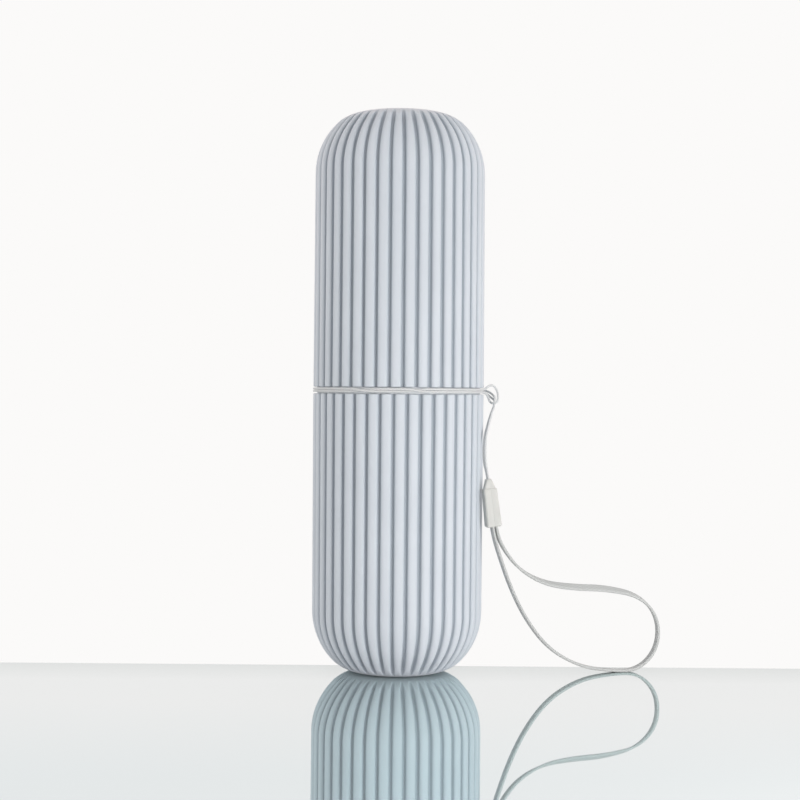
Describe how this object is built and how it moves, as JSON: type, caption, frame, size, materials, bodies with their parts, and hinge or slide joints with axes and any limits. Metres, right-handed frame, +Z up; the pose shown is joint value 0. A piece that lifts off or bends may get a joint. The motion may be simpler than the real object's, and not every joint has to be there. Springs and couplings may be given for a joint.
{
  "type": "oral care travel case",
  "caption": "Ribbed capsule travel case for a toothbrush and paste: pull-apart cups on a neck sleeve, with a divider inside and a wrist lanyard hitched round the neck.",
  "frame": {"origin": "middle of the flat foot under the lower cup", "axes": "+Z up along the case, +X towards the lanyard's hitch, +Y to the back"},
  "size_m": [0.1274, 0.062, 0.2023],
  "materials": {
    "case_plastic": "satin moulded polypropylene",
    "neck_plastic": "satin moulded polypropylene",
    "seal_silicone": "soft silicone",
    "divider_plastic": "satin moulded polypropylene",
    "cord_braid": "braided polyester",
    "clasp_plastic": "moulded ABS",
    "strap_webbing": "narrow woven polyester"
  },
  "bodies": {
    "base": {"lower_cup": "case_plastic"},
    "neck": {"neck_sleeve": "neck_plastic", "upper_seal_ring": "seal_silicone", "lower_seal_ring": "seal_silicone"},
    "divider": {"divider": "divider_plastic"},
    "lid": {"upper_cup": "case_plastic"},
    "lanyard": {"lanyard_cord": "cord_braid", "clasp_inner_half": "clasp_plastic", "clasp_outer_half": "clasp_plastic", "wrist_strap": "strap_webbing"}
  },
  "joints": [
    {"name": "neck_pull", "type": "slide", "parent": "base", "child": "neck", "axis": [0, 0, 1], "range_m": [0, 0.115]},
    {"name": "lid_pull", "type": "slide", "parent": "neck", "child": "lid", "axis": [0, 0, 1], "range_m": [0, 0.12]},
    {"name": "divider_lift", "type": "slide", "parent": "neck", "child": "divider", "axis": [0, 0, 1], "range_m": [0, 0.06]},
    {"name": "lanyard_swivel", "type": "hinge", "parent": "neck", "child": "lanyard", "pos_m": [0, 0, 0.1019], "axis": [0, 0, 1], "continuous": true}
  ]
}
